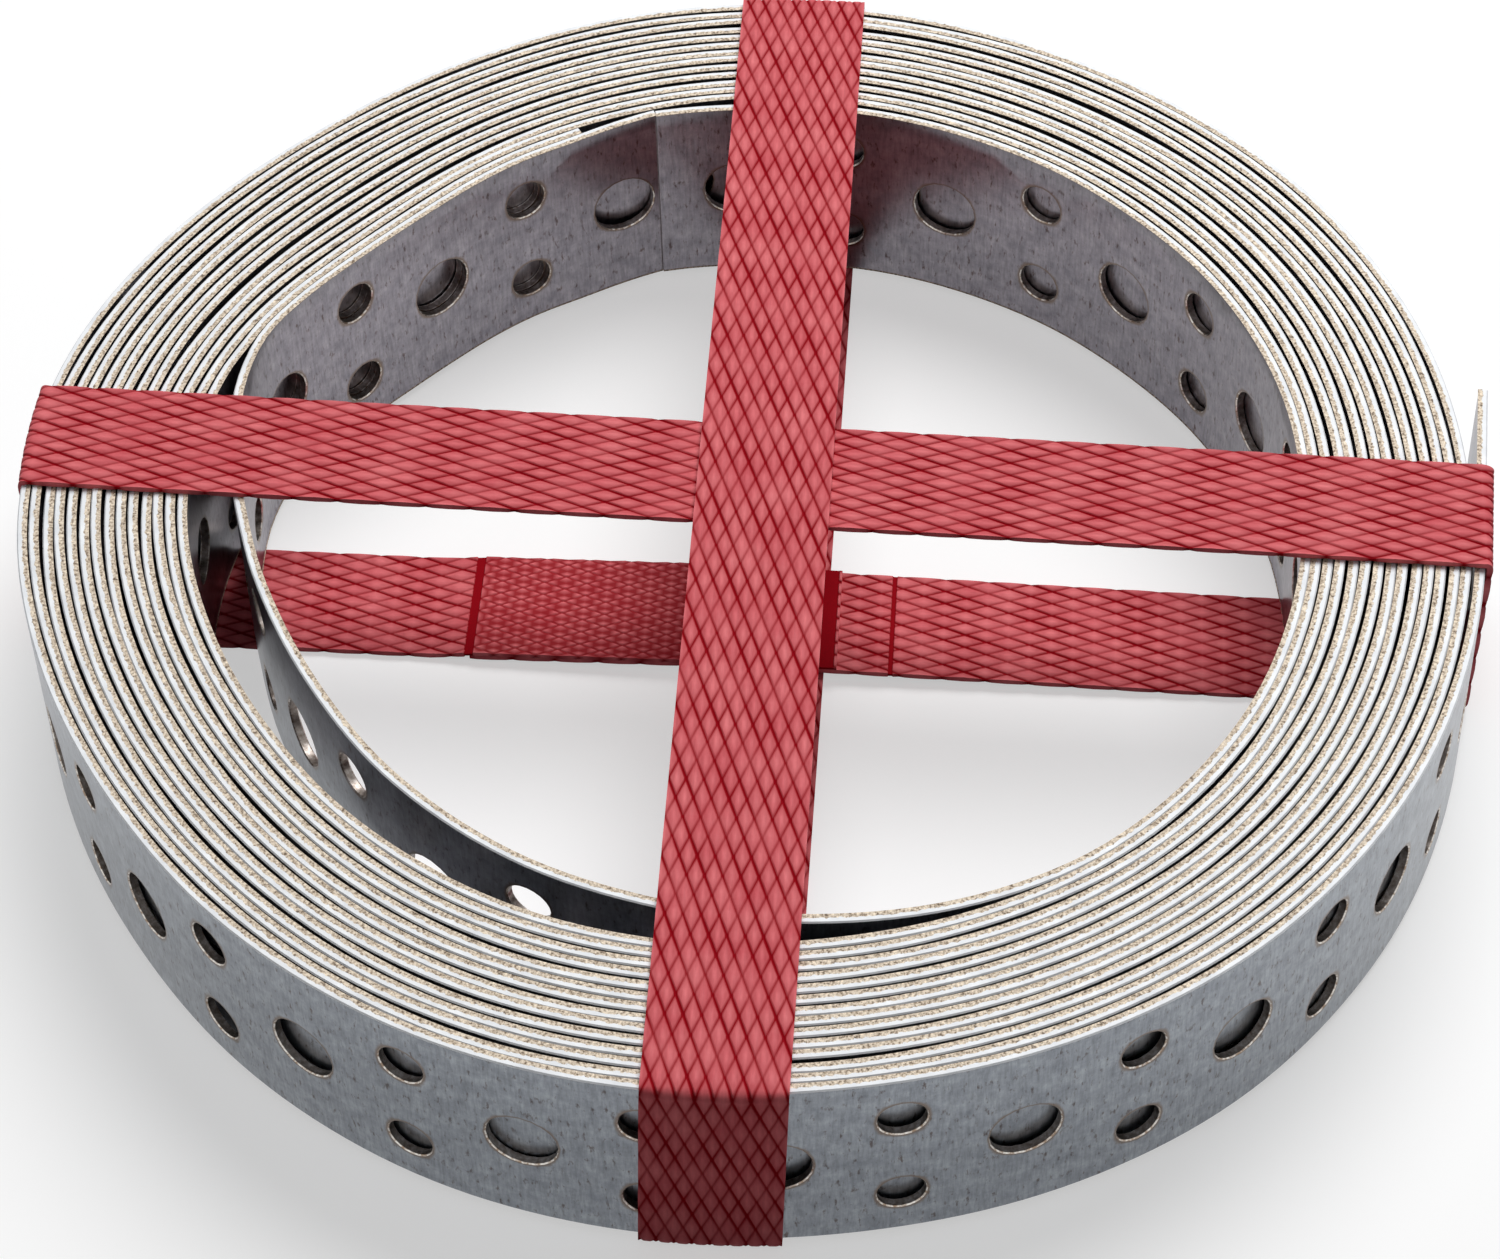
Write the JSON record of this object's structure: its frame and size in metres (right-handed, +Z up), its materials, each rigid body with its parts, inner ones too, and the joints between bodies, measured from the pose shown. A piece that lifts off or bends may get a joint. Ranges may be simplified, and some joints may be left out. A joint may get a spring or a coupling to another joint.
{
  "type": "coil of perforated steel strap",
  "caption": "Coil of galvanised perforated steel strap with large and paired small holes, bound by crossed red plastic bands.",
  "frame": {"origin": "on the coil's axis, on the underside of the lengthwise band, which lies on the floor", "axes": "+Z up along the coil's axis, +Y along the lengthwise band, +X along the crosswise band towards the strap's outer end"},
  "size_m": [0.1276, 0.1272, 0.0219],
  "materials": {
    "galvanised_steel": "galvanised, mottled, with bright sheared edges",
    "red_plastic": "embossed with fine diamonds, semi-gloss"
  },
  "bodies": {
    "root": {"perforated_strap": "galvanised_steel", "lengthwise_band": "red_plastic", "crosswise_band": "red_plastic"}
  },
  "joints": []
}
